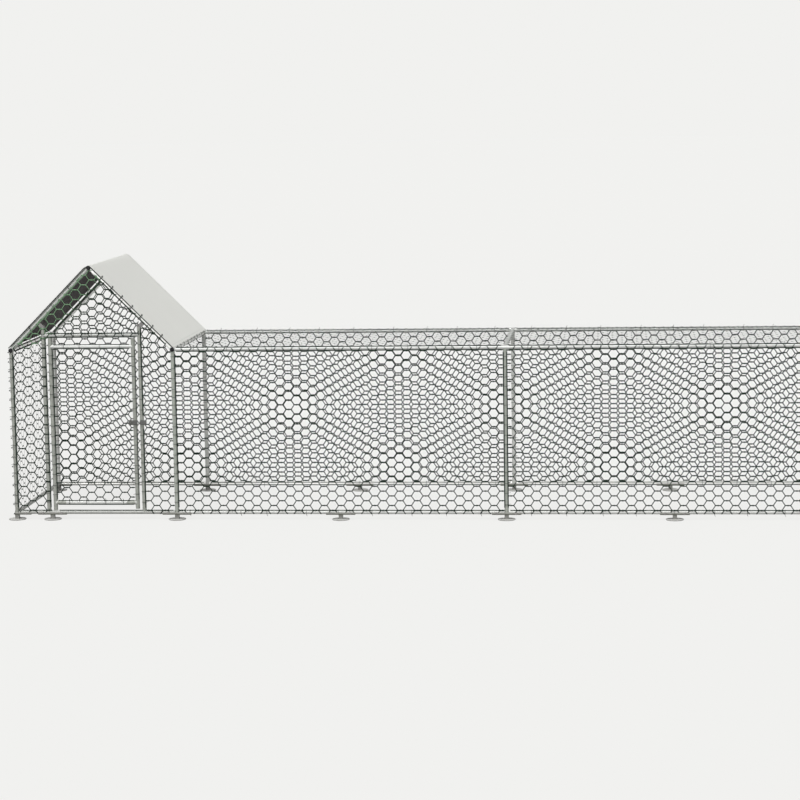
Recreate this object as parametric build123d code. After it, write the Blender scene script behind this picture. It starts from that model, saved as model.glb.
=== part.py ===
from build123d import *
import os
from math import ceil, cos, radians, sin, tan

# A walk-in poultry coop of round steel tube: a gabled house with a door in its front,
# and a lower, flat-topped run that leads off to one side.
# X runs along the run, Y from front to rear and Z up. The origin is on the ground under
# the middle of the coop. Sizes are in millimetres. The tubes are closed at both ends by
# their joints or caps, so their bores are left out.

# House and run, from tube centre to tube centre
HOUSE_WIDTH = 990.0
HOUSE_DEPTH = 1050.0
EAVE_HEIGHT = 1038.0  # above the ground
ROOF_PITCH = 45.0  # degrees
RAIL_HEIGHT = 45.0  # bottom rails, above the ground
BAY_LENGTH = 2000.0
BAY_COUNT = 2

# Tube and its fits
TUBE_OD = 25.0
COPE_GAP = 0.2  # between a coped tube end and the tube it sits on
BUTT_GAP = 0.3  # between a square tube end and what it meets
NOSE = 17.0  # tubes that run on past the axis of their last post
CAP_LIP = 1.0  # end cap wider than its tube, all round
CAP_THICK = 4.0
CAP_SIDES = 16  # flats round the rim of a cap, to grip it by

# Feet, with folded shoes that the bottom rails lie in
PLATE_RADIUS = 52.5
PLATE_THICK = 4.0
SHOE_REACH = 88.0  # from the middle of the foot
SHOE_WALL = 2.0
SHOE_GAP = 0.1

# Door opening and leaf
JAMB_INSET = 200.0  # corner post to jamb
JAMB_TOP_DROP = 63.0  # rafter axis down to the top of the jamb
LINTEL_DROP = 48.0  # top of the jamb down to the lintel's axis
LEAF_GAP = 41.0  # jamb to stile
LEAF_TOP_DROP = 69.0  # lintel down to the leaf's top rail
LEAF_BOTTOM_RISE = 59.5  # sill up to the leaf's bottom rail
HINGE_CLEARANCE = 3.0  # hinge stile to sill and to lintel
LATCH_CLEARANCE = 8.5  # latch stile to sill and to lintel
BRACKET_SIZE = 24.0

# Pivot pins that the hinge stile turns on
PIN_RADIUS = 8.0
PIN_LENGTH = 36.0  # out of the sill or lintel
PIN_GAP = 0.05
THRUST_GAP = 0.2  # over the tip of the lower pin
LIFT_GAP = 2.0  # under the tip of the upper pin

# Slide bolt
LATCH_HEIGHT = 595.0
LATCH_PLATE_Z = 29.0
LATCH_PLATE_THICK = 2.0
LATCH_COVER_THICK = 1.6
LATCH_BOSS_WIDTH = 12.0
LATCH_BOSS_SHIFT = 4.0  # boss centre towards the gap of the door
HOUSING_LEFT = 33.0  # from the stile's axis
HOUSING_RIGHT = 17.0
KEEPER_LEFT = 10.0  # from the jamb's axis
KEEPER_RIGHT = 31.0
BOLT_WIDTH = 14.0
BOLT_THICK = 6.0
BOLT_INSET = 1.0  # bolt ends inside the housing when withdrawn
BOLT_TRAVEL = 34.0
BOLT_GAP = 0.3
KNOB_RADIUS = 4.0
KNOB_LENGTH = 15.0  # out of the bolt's face
KNOB_INSET = 7.0  # from the housing's left end to the knob's axis
LATCH_NET_GAP = 0.6  # plate to the netting behind it

# Netting and roof cover
NET_THICK = 1.6
NET_GAP = 0.3  # netting to the tubes that it lies on
NET_INSET = 4.0  # edge of the netting inside the axes of the tubes round it
NET_NOSE_GAP = 1.5  # round tube ends that pass through the netting
NET_CELL = 525.0  # widest pitch of the open grid that stands for the wire mesh
NET_BAR = 8.0  # width of the grid's bars
NET_BORDER = 16.0  # width of the grid's border, wired to the tubes
ROOF_NET_START = 20.0  # run's roof netting, from the axis of the eave
COVER_THICK = 1.2
COVER_GAP = 0.5  # cover to the tubes under it
COVER_LAP = 14.0  # cover past the front and rear rafters' axes

# Worked out from the sizes above
tube_r = TUBE_OD / 2
cope_r = tube_r + COPE_GAP
butt = tube_r + BUTT_GAP
cap_r = tube_r + CAP_LIP
net_offset = tube_r + NET_GAP
shoe_room = tube_r + SHOE_GAP
shoe_floor = RAIL_HEIGHT - shoe_room
x_left = -(HOUSE_WIDTH + BAY_COUNT * BAY_LENGTH) / 2
x_right = x_left + HOUSE_WIDTH
x_ridge = (x_left + x_right) / 2
run_post_x = [x_right + BAY_LENGTH * (bay + 1) for bay in range(BAY_COUNT)]
x_end = run_post_x[-1]
y_front = -HOUSE_DEPTH / 2
y_rear = HOUSE_DEPTH / 2
pitch = radians(ROOF_PITCH)
ridge_z = EAVE_HEIGHT + HOUSE_WIDTH / 2 * tan(pitch)
x_jamb_left = x_left + JAMB_INSET
x_jamb_right = x_right - JAMB_INSET
jamb_top = EAVE_HEIGHT + JAMB_INSET * tan(pitch) - JAMB_TOP_DROP
lintel_z = jamb_top - LINTEL_DROP
x_hinge = x_jamb_left + LEAF_GAP
x_latch = x_jamb_right - LEAF_GAP
leaf_top = lintel_z - LEAF_TOP_DROP
leaf_bottom = RAIL_HEIGHT + LEAF_BOTTOM_RISE
sides = [("front", y_front, -1), ("rear", y_rear, 1)]
house_posts = [("left", x_left), ("right", x_right)]
along = Vector(1, 0, 0)
crosswise = Vector(0, 1, 0)

nodes = {}


def rod(start, end, radius=tube_r):
    """A cylinder from one point to another, by default a frame tube."""
    axis = Vector(*end) - Vector(*start)
    place = Plane(origin=start, z_dir=axis)
    return place * Cylinder(radius, axis.length, align=(Align.CENTER, Align.CENTER, Align.MIN))


def box_between(low, high):
    """A box from its lowest to its highest corner."""
    size = [h - l for l, h in zip(low, high)]
    return Pos(*low) * Box(*size, align=(Align.MIN, Align.MIN, Align.MIN))


def end_cap(x, y, z, direction):
    """A flat plug over the end of a tube, with flats round its rim."""
    face = Plane(origin=(x, y, z), z_dir=direction) * RegularPolygon(cap_r, CAP_SIDES)
    return extrude(face, CAP_THICK)


def upright_cope(x, y, top, radius=cope_r):
    """What a post, jamb or stile takes out of a tube that butts against it."""
    return rod((x, y, 0), (x, y, top), radius)


def channel(x, y, arm, half_width, low, high):
    """The room along one arm of a shoe, from behind the middle of the foot to the arm's end."""
    near = arm * -half_width
    far = arm * SHOE_REACH
    across = Vector(abs(arm.Y), abs(arm.X), 0) * half_width
    corners = [near - across, near + across, far - across, far + across]
    xs = [x + corner.X for corner in corners]
    ys = [y + corner.Y for corner in corners]
    return box_between((min(xs), min(ys), low), (max(xs), max(ys), high))


def foot(x, y, arms):
    """A round plate with a stub, and a folded shoe that takes the rails and any post above."""
    body = box_between((x - tube_r, y - tube_r, 0), (x + tube_r, y + tube_r, shoe_floor))
    body += rod((x, y, 0), (x, y, PLATE_THICK), PLATE_RADIUS)
    for arm in arms:
        body += channel(x, y, arm, shoe_room + SHOE_WALL, shoe_floor - SHOE_WALL, RAIL_HEIGHT)
    for arm in arms:
        body -= channel(x, y, arm, shoe_room, shoe_floor, RAIL_HEIGHT)
    return body


def post(x, y, head):
    """A post that stands in a shoe, coped at the top to the rail it carries."""
    reach = head * TUBE_OD
    top = Vector(x, y, EAVE_HEIGHT)
    return rod((x, y, shoe_floor), top) - rod(top - reach, top + reach, cope_r)


# Posts of the house and the run on their feet, and the feet between them
both_ways = [along, -along]
rail_feet = [foot((x_jamb_left + x_hinge) / 2, y_front, both_ways)]
for side, y, outward in sides:
    inward = crosswise * -outward
    post_feet = [foot(x_left, y, [along, inward]), foot(x_end, y, [-along, inward])]
    for place, x in house_posts:
        nodes[f"house_post_{side}_{place}"] = post(x, y, crosswise)
    for bay, x in enumerate(run_post_x):
        nodes[f"run_post_{side}_{bay + 1}"] = post(x, y, along)
        post_feet.append(foot(x - BAY_LENGTH, y, both_ways))
        rail_feet.append(foot(x - BAY_LENGTH / 2, y, both_ways))
    nodes[f"post_feet_{side}"] = post_feet
nodes["rail_feet"] = rail_feet

# Eave rails and ridge pole run on past the gables to capped ends
caps = []
y_nose = y_rear + NOSE
long_tubes = [
    ("eave_rail_left", x_left, EAVE_HEIGHT),
    ("eave_rail_right", x_right, EAVE_HEIGHT),
    ("ridge_pole", x_ridge, ridge_z),
]
for name, x, z in long_tubes:
    nodes[name] = rod((x, -y_nose, z), (x, y_nose, z))
    for outward in (-1, 1):
        caps.append(end_cap(x, outward * y_nose, z, crosswise * outward))

# Rafters, coped to the eave rail, the post's head and the ridge pole and mitred to each other
for side, y, _ in sides:
    ridge_cope = rod((x_ridge, y - TUBE_OD, ridge_z), (x_ridge, y + TUBE_OD, ridge_z), cope_r)
    for place, x in house_posts:
        eave_cope = rod((x, y - TUBE_OD, EAVE_HEIGHT), (x, y + TUBE_OD, EAVE_HEIGHT), cope_r)
        past = TUBE_OD if x < x_ridge else -TUBE_OD
        mitre = sorted([x_ridge - past * COPE_GAP / TUBE_OD, x_ridge + past])
        other_half = box_between(
            (mitre[0], y - TUBE_OD, ridge_z - 2 * TUBE_OD), (mitre[1], y + TUBE_OD, ridge_z + TUBE_OD)
        )
        rafter = rod((x, y, EAVE_HEIGHT), (x_ridge, y, ridge_z)) - eave_cope - ridge_cope - other_half
        nodes[f"rafter_{side}_{place}"] = rafter - upright_cope(x, y, EAVE_HEIGHT, cope_r + COPE_GAP)

# Bottom rails: the house's sills and the run's rails, square ends in the shoes
for side, y, _ in sides:
    stops = [x_left, x_right] + run_post_x
    names = [f"sill_{side}"] + [f"run_bottom_rail_{side}_{bay + 1}" for bay in range(BAY_COUNT)]
    for name, start, end in zip(names, stops, stops[1:]):
        nodes[name] = rod((start + butt, y, RAIL_HEIGHT), (end - butt, y, RAIL_HEIGHT))
for name, x in [("sill_left", x_left), ("run_sill_end", x_end)]:
    nodes[name] = rod((x, y_front + butt, RAIL_HEIGHT), (x, y_rear - butt, RAIL_HEIGHT))

# The run's top rails meet over the middle posts and run on to capped ends
for side, y, _ in sides:
    for bay, x in enumerate(run_post_x):
        start = x - BAY_LENGTH + (butt if bay == 0 else BUTT_GAP / 2)
        end = x + NOSE if x == x_end else x - BUTT_GAP / 2
        nodes[f"run_top_rail_{side}_{bay + 1}"] = rod((start, y, EAVE_HEIGHT), (end, y, EAVE_HEIGHT))
    nose = x_end + NOSE
    caps.append(end_cap(nose, y, EAVE_HEIGHT, along))
nodes["end_caps"] = caps

# Crossbeams between the run's top rails
for bay, x in enumerate(run_post_x):
    beam = rod((x, y_front, EAVE_HEIGHT), (x, y_rear, EAVE_HEIGHT))
    for _, y, _ in sides:
        beam -= rod((x - TUBE_OD, y, EAVE_HEIGHT), (x + TUBE_OD, y, EAVE_HEIGHT), cope_r)
        beam -= upright_cope(x, y, EAVE_HEIGHT)
    nodes[f"run_crossbeam_{bay + 1}"] = beam

# Door jambs stand on the front sill, with the lintel coped between them
sill_cope = rod((x_left, y_front, RAIL_HEIGHT), (x_right, y_front, RAIL_HEIGHT), cope_r)
lintel = rod((x_jamb_left, y_front, lintel_z), (x_jamb_right, y_front, lintel_z))
for place, x in [("left", x_jamb_left), ("right", x_jamb_right)]:
    nodes[f"door_jamb_{place}"] = rod((x, y_front, RAIL_HEIGHT), (x, y_front, jamb_top)) - sill_cope
    lintel -= upright_cope(x, y_front, ridge_z)
nodes["door_lintel"] = lintel


def jamb_bracket(x, x_eave):
    """A block square to the rafter that joins it to the top of a jamb."""
    lean = 1 if x_eave > x_ridge else -1
    normal = Vector(lean * sin(pitch), 0, cos(pitch))
    seat = Vector(x, y_front, jamb_top)
    reach = JAMB_TOP_DROP * cos(pitch)
    place = Plane(origin=seat - normal * BRACKET_SIZE, x_dir=(0, 1, 0), z_dir=normal)
    lower_end = (Align.CENTER, Align.CENTER, Align.MIN)
    block = place * Box(BRACKET_SIZE, BRACKET_SIZE, reach + BRACKET_SIZE, align=lower_end)
    wide = reach + 2 * BRACKET_SIZE
    block -= box_between((x - wide, y_front - wide, jamb_top - wide), (x + wide, y_front + wide, jamb_top))
    return block - rod((x_eave, y_front, EAVE_HEIGHT), (x_ridge, y_front, ridge_z), cope_r)


nodes["jamb_bracket_left"] = jamb_bracket(x_jamb_left, x_left)
nodes["jamb_bracket_right"] = jamb_bracket(x_jamb_right, x_right)

# Leaf: two stiles with two rails coped between them
sill_top = RAIL_HEIGHT + tube_r
lintel_under = lintel_z - tube_r
pin_tips = (sill_top + PIN_LENGTH, lintel_under - PIN_LENGTH)
hinge_ends = (sill_top + HINGE_CLEARANCE, lintel_under - HINGE_CLEARANCE)
bore_r = PIN_RADIUS + PIN_GAP
hinge_stile = rod((x_hinge, y_front, hinge_ends[0]), (x_hinge, y_front, hinge_ends[1]))
hinge_stile -= rod((x_hinge, y_front, sill_top), (x_hinge, y_front, pin_tips[0] + THRUST_GAP), bore_r)
hinge_stile -= rod((x_hinge, y_front, pin_tips[1] - LIFT_GAP), (x_hinge, y_front, lintel_under), bore_r)
nodes["door_stile_hinge"] = hinge_stile
latch_ends = (sill_top + LATCH_CLEARANCE, lintel_under - LATCH_CLEARANCE)
nodes["door_stile_latch"] = rod((x_latch, y_front, latch_ends[0]), (x_latch, y_front, latch_ends[1]))
for place, z in [("top", leaf_top), ("bottom", leaf_bottom)]:
    rail = rod((x_hinge, y_front, z), (x_latch, y_front, z))
    for x in (x_hinge, x_latch):
        rail -= upright_cope(x, y_front, ridge_z)
    nodes[f"door_rail_{place}"] = rail

# Pivot pins, coped to the sill and to the lintel
pins = []
for rail_z, tip in [(RAIL_HEIGHT, pin_tips[0]), (lintel_z, pin_tips[1])]:
    seat = rod((x_hinge - TUBE_OD, y_front, rail_z), (x_hinge + TUBE_OD, y_front, rail_z), cope_r)
    pins.append(rod((x_hinge, y_front, rail_z), (x_hinge, y_front, tip), PIN_RADIUS) - seat)
nodes["pivot_pins"] = pins

# Slide bolt: its plates stand in front of the netting, on bosses that reach back to the tubes
plate_back = y_front - net_offset - NET_THICK - LATCH_NET_GAP
plate_face = plate_back - LATCH_PLATE_THICK
bolt_back = plate_face - BOLT_GAP
bolt_face = bolt_back - BOLT_THICK
cover_back = bolt_face - BOLT_GAP
cover_face = cover_back - LATCH_COVER_THICK
channel_half = BOLT_WIDTH / 2 + BOLT_GAP
cover_half = channel_half + LATCH_COVER_THICK
latch_low = LATCH_HEIGHT - LATCH_PLATE_Z / 2
latch_high = LATCH_HEIGHT + LATCH_PLATE_Z / 2


def latch_part(x_start, x_stop, x_tube, boss_shift):
    """A plate with a folded channel for the bolt, and the boss that carries it on its tube."""
    body = box_between((x_start, plate_face, latch_low), (x_stop, plate_back, latch_high))
    body += box_between(
        (x_start, cover_face, LATCH_HEIGHT - cover_half), (x_stop, plate_face, LATCH_HEIGHT + cover_half)
    )
    body -= box_between(
        (x_start, cover_back, LATCH_HEIGHT - channel_half), (x_stop, plate_face, LATCH_HEIGHT + channel_half)
    )
    boss_left = x_tube + boss_shift - LATCH_BOSS_WIDTH / 2
    boss = box_between(
        (boss_left, plate_back, latch_low), (boss_left + LATCH_BOSS_WIDTH, y_front, latch_high)
    )
    return body + (boss - upright_cope(x_tube, y_front, EAVE_HEIGHT))


housing_start = x_latch - HOUSING_LEFT
housing_stop = x_latch + HOUSING_RIGHT
knob_x = housing_start + KNOB_INSET
slot_r = KNOB_RADIUS + BOLT_GAP
housing = latch_part(housing_start, housing_stop, x_latch, LATCH_BOSS_SHIFT)
housing -= box_between(
    (knob_x, cover_face, LATCH_HEIGHT - slot_r), (knob_x + BOLT_TRAVEL, cover_back, LATCH_HEIGHT + slot_r)
)
for x in (knob_x, knob_x + BOLT_TRAVEL):
    housing -= rod((x, cover_face, LATCH_HEIGHT), (x, cover_back, LATCH_HEIGHT), slot_r)
nodes["latch_housing"] = housing
nodes["latch_keeper"] = latch_part(
    x_jamb_right - KEEPER_LEFT, x_jamb_right + KEEPER_RIGHT, x_jamb_right, -LATCH_BOSS_SHIFT
)
bolt = box_between(
    (housing_start + BOLT_INSET, bolt_face, LATCH_HEIGHT - BOLT_WIDTH / 2),
    (housing_stop - BOLT_INSET, bolt_back, LATCH_HEIGHT + BOLT_WIDTH / 2),
)
bolt += rod((knob_x, bolt_back, LATCH_HEIGHT), (knob_x, bolt_face - KNOB_LENGTH, LATCH_HEIGHT), KNOB_RADIUS)
nodes["latch_bolt"] = bolt

# Netting on the outside of the tubes, as flat open grids
wall_front = Plane(origin=(0, y_front - net_offset, 0), x_dir=(1, 0, 0), z_dir=(0, -1, 0))
wall_rear = Plane(origin=(0, y_rear + net_offset + NET_THICK, 0), x_dir=(1, 0, 0), z_dir=(0, -1, 0))
wall_left = Plane(origin=(x_left - net_offset, 0, 0), x_dir=(0, -1, 0), z_dir=(-1, 0, 0))
wall_end = Plane(origin=(x_end + net_offset, 0, 0), x_dir=(0, 1, 0), z_dir=(1, 0, 0))
run_roof = Plane(origin=(0, 0, EAVE_HEIGHT + net_offset), x_dir=(1, 0, 0), z_dir=(0, 0, 1))


def bar_places(low, high):
    """Places of the bars that share a width out into equal cells."""
    cells = ceil((high - low) / NET_CELL)
    return [low + (high - low) * bar / cells for bar in range(1, cells)]


def net(plane, corners, noses=()):
    """A grid of netting on a plane, with room cut for the tube ends that pass through it."""
    sheet = make_face(Polyline(*corners, close=True))
    left, right = min(x for x, _ in corners), max(x for x, _ in corners)
    low, high = min(z for _, z in corners), max(z for _, z in corners)
    openings = offset(sheet, -NET_BORDER)
    for x in bar_places(left, right):
        openings -= Pos(x, (low + high) / 2) * Rectangle(NET_BAR, high - low)
    for z in bar_places(low, high):
        openings -= Pos((left + right) / 2, z) * Rectangle(right - left, NET_BAR)
    body = extrude(plane * (sheet - openings), NET_THICK)
    for nose in noses:
        body -= nose
    return body


def oblong(left, low, right, high):
    return [(left, low), (right, low), (right, high), (left, high)]


def gable_z(x):
    """Upper edge of the gable netting, just inside the rafter's axis."""
    return ridge_z - abs(x - x_ridge) * tan(pitch) - NET_INSET / cos(pitch)


def nose_room(x, y, z, direction):
    """Room in the netting for the end of a tube and its cap."""
    reach = direction * (NOSE + CAP_THICK)
    middle = Vector(x, y, z)
    return rod(middle - reach, middle + reach, cap_r + NET_NOSE_GAP)


net_low = RAIL_HEIGHT + NET_INSET
net_high = EAVE_HEIGHT - NET_INSET
for place, x_post, x_jamb in [("left", x_left, x_jamb_left), ("right", x_right, x_jamb_right)]:
    step = NET_INSET if x_jamb > x_post else -NET_INSET
    outer = x_post + step
    inner = x_jamb - step
    corners = [(outer, net_low), (inner, net_low), (inner, gable_z(inner)), (outer, gable_z(outer))]
    room = nose_room(x_post, y_front, EAVE_HEIGHT, crosswise)
    nodes[f"netting_front_{place}"] = net(wall_front, corners, [room])

lintel_net = lintel_z + NET_INSET
jamb_left_edge = x_jamb_left + NET_INSET
jamb_right_edge = x_jamb_right - NET_INSET
gable_corners = [
    (jamb_left_edge, lintel_net),
    (jamb_right_edge, lintel_net),
    (jamb_right_edge, gable_z(jamb_right_edge)),
    (x_ridge, gable_z(x_ridge)),
    (jamb_left_edge, gable_z(jamb_left_edge)),
]
ridge_room = nose_room(x_ridge, y_front, ridge_z, crosswise)
nodes["netting_gable_front"] = net(wall_front, gable_corners, [ridge_room])

rear_left = x_left + NET_INSET
rear_right = x_right - NET_INSET
rear_corners = [
    (rear_left, net_low),
    (rear_right, net_low),
    (rear_right, gable_z(rear_right)),
    (x_ridge, gable_z(x_ridge)),
    (rear_left, gable_z(rear_left)),
]
rear_rooms = [nose_room(x, y_rear, z, crosswise) for _, x, z in long_tubes]
nodes["netting_house_rear"] = net(wall_rear, rear_corners, rear_rooms)

half_depth = HOUSE_DEPTH / 2 - NET_INSET
nodes["netting_house_left"] = net(wall_left, oblong(-half_depth, net_low, half_depth, net_high))
run_start = x_right + NET_INSET
run_stop = x_end - NET_INSET
for side, y, outward in sides:
    wall = wall_front if outward < 0 else wall_rear
    room = nose_room(x_right, y, EAVE_HEIGHT, crosswise)
    nodes[f"netting_run_{side}"] = net(wall, oblong(run_start, net_low, run_stop, net_high), [room])
nodes["netting_run_roof"] = net(
    run_roof, oblong(x_right + ROOF_NET_START, -half_depth, run_stop, half_depth)
)
end_rooms = [nose_room(x_end, y, EAVE_HEIGHT, along) for _, y, _ in sides]
nodes["netting_run_end"] = net(wall_end, oblong(-half_depth, net_low, half_depth, net_high), end_rooms)
leaf_corners = oblong(
    x_hinge + NET_INSET, leaf_bottom - NET_INSET, x_latch - NET_INSET, leaf_top + NET_INSET
)
nodes["netting_door"] = net(wall_front, leaf_corners)

# Roof cover: one sheet folded over the ridge, from eave to eave
cover_in = tube_r + COVER_GAP
cover_out = cover_in + COVER_THICK


def roof_point(x, z, radius, lean):
    """A point off a roof tube's axis, square to the slope on one side or straight up."""
    return (x + lean * radius * sin(pitch), z + radius * (cos(pitch) if lean else 1))


def cover_line(radius):
    """The cover's line from eave to eave, at one distance from the rafters' axes."""
    left = roof_point(x_ridge, ridge_z, radius, -1)
    top = roof_point(x_ridge, ridge_z, radius, 0)
    right = roof_point(x_ridge, ridge_z, radius, 1)
    left_slope = Line(roof_point(x_left, EAVE_HEIGHT, radius, -1), left)
    right_slope = Line(right, roof_point(x_right, EAVE_HEIGHT, radius, 1))
    return [left_slope, ThreePointArc(left, top, right), right_slope]


outer_line = cover_line(cover_out)
inner_line = cover_line(cover_in)
edges = outer_line + inner_line
edges += [Line(outer_line[0] @ 0, inner_line[0] @ 0), Line(outer_line[-1] @ 1, inner_line[-1] @ 1)]
cover_plane = Plane(origin=(0, y_rear + COVER_LAP, 0), x_dir=(1, 0, 0), z_dir=(0, -1, 0))
nodes["roof_cover"] = extrude(cover_plane * make_face(edges), HOUSE_DEPTH + 2 * COVER_LAP)

os.makedirs("parts", exist_ok=True)
for name, shape in nodes.items():
    solids = shape if isinstance(shape, list) else [shape]
    export_step(Compound(children=[part for solid in solids for part in solid.solids()]), f"parts/{name}.step")
print(len(nodes), "nodes,", 2 * (x_end + PLATE_RADIUS), "x", HOUSE_DEPTH + 2 * PLATE_RADIUS, "mm")
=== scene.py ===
import bpy
import bmesh
from math import cos, floor, pi, radians, sin, sqrt
from mathutils import Matrix, Vector, noise


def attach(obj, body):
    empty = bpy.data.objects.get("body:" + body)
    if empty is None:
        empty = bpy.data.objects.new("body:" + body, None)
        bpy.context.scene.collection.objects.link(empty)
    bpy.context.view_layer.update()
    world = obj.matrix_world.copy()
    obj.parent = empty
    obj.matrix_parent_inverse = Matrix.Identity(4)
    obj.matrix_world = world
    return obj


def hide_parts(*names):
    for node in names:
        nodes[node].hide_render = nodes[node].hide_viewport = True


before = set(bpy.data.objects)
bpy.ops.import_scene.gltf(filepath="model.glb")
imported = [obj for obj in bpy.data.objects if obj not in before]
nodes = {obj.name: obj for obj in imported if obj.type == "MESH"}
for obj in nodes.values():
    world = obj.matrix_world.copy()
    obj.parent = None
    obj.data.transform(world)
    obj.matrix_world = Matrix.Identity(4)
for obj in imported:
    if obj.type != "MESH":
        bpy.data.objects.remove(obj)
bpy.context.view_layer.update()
scene = bpy.context.scene
print("coop frame loaded:", len(nodes), "nodes")


# An output of a node, so that sums on it read as plain maths
class Tap:
    def __init__(self, sheet, socket):
        self.sheet = sheet
        self.socket = socket

    def maths(self, operation, *values):
        return self.sheet.add("ShaderNodeMath", {"operation": operation}, dict(enumerate(values)))

    def __add__(self, other):
        return self.maths("ADD", self, other)

    __radd__ = __add__

    def __mul__(self, other):
        return self.maths("MULTIPLY", self, other)

    __rmul__ = __mul__

    def __sub__(self, other):
        return self.maths("SUBTRACT", self, other)

    def __rsub__(self, other):
        return self.maths("SUBTRACT", other, self)

    def __truediv__(self, other):
        return self.maths("DIVIDE", self, other)

    def __mod__(self, other):
        return self.maths("FLOORED_MODULO", self, other)

    def sine(self):
        return self.maths("SINE", self)

    def cosine(self):
        return self.maths("COSINE", self)

    def whole(self):
        return self.maths("FLOOR", self)

    def size(self):
        return self.maths("ABSOLUTE", self)


# One node tree being laid out, for a finish or for a piece
class NodeSheet:
    def __init__(self, tree):
        self.tree = tree

    def add(self, kind, settings=None, inputs=None, out=0):
        node = self.tree.nodes.new(kind)
        for key, value in (settings or {}).items():
            if key == "stops":
                ramp = node.color_ramp
                for place, (position, colour) in enumerate(value):
                    stop = ramp.elements[place] if place < 2 else ramp.elements.new(position)
                    stop.position = position
                    stop.color = (*colour, 1)
            else:
                setattr(node, key, value)
        for key, value in (inputs or {}).items():
            if isinstance(value, Tap):
                self.tree.links.new(value.socket, node.inputs[key])
            else:
                node.inputs[key].default_value = value
        return Tap(self, node.outputs[out] if node.outputs else None)

    def blend(self, share, first, second, how="MIX"):
        first, second = [c if isinstance(c, Tap) else (*c, 1) for c in (first, second)]
        values = {0: share, 6: first, 7: second}
        return self.add("ShaderNodeMix", {"data_type": "RGBA", "blend_type": how}, values, out=2)

    def ramp(self, value, start, stop, first=0.0, last=1.0):
        return self.add("ShaderNodeMapRange", {}, {"Value": value, 1: start, 2: stop, 3: first, 4: last})

    def cloud(self, place, scale, detail):
        return self.add("ShaderNodeTexNoise", {}, {"Vector": place, "Scale": scale, "Detail": detail})

    def gather(self, *shapes):
        joined = self.add("GeometryNodeJoinGeometry")
        for shape in shapes:
            self.tree.links.new(shape.socket, joined.socket.node.inputs[0])
        return joined

    def parts(self, place):
        split = self.add("ShaderNodeSeparateXYZ", {}, {0: place})
        return [Tap(self, split.socket.node.outputs[axis]) for axis in range(3)]


def newFinish(name, coordinates="Object"):
    finish = bpy.data.materials.new(name)
    finish.use_nodes = True
    finish.node_tree.nodes.clear()
    sheet = NodeSheet(finish.node_tree)
    return finish, sheet, sheet.add("ShaderNodeTexCoord", out=coordinates)


# Ends a finish with its shader, and with bumps as high and as strong as its look says
def closeFinish(sheet, values, height, look):
    bump = {"Height": height, "Distance": look["bumpHeight"], "Strength": look["bumpStrength"]}
    values["Normal"] = sheet.add("ShaderNodeBump", {}, bump)
    surface = sheet.add("ShaderNodeBsdfPrincipled", {}, values)
    sheet.add("ShaderNodeOutputMaterial", {}, {"Surface": surface})


# Zinc-dipped steel: spangled, a little cloudy, dustier towards the ground
zincLook = {
    "pale": (0.80, 0.81, 0.78), "deep": (0.56, 0.57, 0.54), "dust": (0.36, 0.34, 0.30),
    "spangle": 0.009, "cloudSize": 0.16, "grainScale": 900.0, "dustHeight": (0.01, 0.14), "dustShare": 0.3,
    "flakeTone": 0.45, "cloudTone": 0.75, "toneDrop": 0.1,
    "metallic": 0.15, "gloss": 0.15,
    "roughness": 0.30, "flakeRough": 0.10, "cloudRough": 0.14, "dustRough": 0.3,
    "grainBump": 0.4, "flakeBump": 0.6, "bumpHeight": 0.0002, "bumpStrength": 0.25,
}

# Lit and shaded copies of the one zinc, named for the tubes they go on: paler or mirror-like ones are painted
# light and highlight, darker ones painted shade; latchZinc is the latch's own zinc
zincLightAndShade = {
    "postZinc": {},
    "jambShadeZinc": {"pale": (0.437, 0.452, 0.412), "deep": (0.297, 0.308, 0.279)},
    "barShadeZinc": {"pale": (0.53, 0.54, 0.52), "deep": (0.38, 0.39, 0.37), "metallic": 0.25},
    "backLitZinc": {"pale": (0.76, 0.765, 0.74), "deep": (0.54, 0.545, 0.52)},
    "railLitZinc": {"pale": (0.76, 0.77, 0.75), "deep": (0.56, 0.57, 0.55), "metallic": 0.25},
    # painted highlight: the shine and bright copies are paler and near-mirror, so these tubes show bright
    # white
    "shineLitZinc": {
        "pale": (0.95, 0.95, 0.93), "deep": (0.86, 0.86, 0.84), "metallic": 0.92, "roughness": 0.22,
    },
    "frontShadeZinc": {"pale": (0.48, 0.51, 0.46), "deep": (0.337, 0.358, 0.322)},
    "brightLitZinc": {
        "pale": (0.82, 0.83, 0.81), "deep": (0.68, 0.69, 0.67), "metallic": 0.8, "roughness": 0.22,
    },
    "strapShadeZinc": {"pale": (0.34, 0.33, 0.32), "deep": (0.22, 0.215, 0.21)},
    "latchZinc": {"pale": (0.20, 0.20, 0.19), "deep": (0.11, 0.11, 0.104), "spangle": 0.004},
    # A foot is a paler copy (painted light on the plate's top) with bands of painted shade by height: the
    # plate's darker rim, the plate's pale top, the darker stub, the shoe in painted shadow and its edge
    "footLitShadeZinc": {
        "pale": (0.97, 0.97, 0.95), "deep": (0.88, 0.88, 0.86), "dust": (0.70, 0.69, 0.66), "metallic": 0.0,
        "shadeBandsTop": 0.046,
        "shadeBands": (
            (0.0, 0.055, (0.29, 0.29, 0.28)),
            (0.07, 0.09, (0.64, 0.64, 0.63)),
            (0.11, 0.61, (0.27, 0.27, 0.26)),
            (0.63, 0.80, (0.16, 0.165, 0.145)),
            (0.86, 1.0, (0.44, 0.44, 0.42)),
        ),
    },
}


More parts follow.
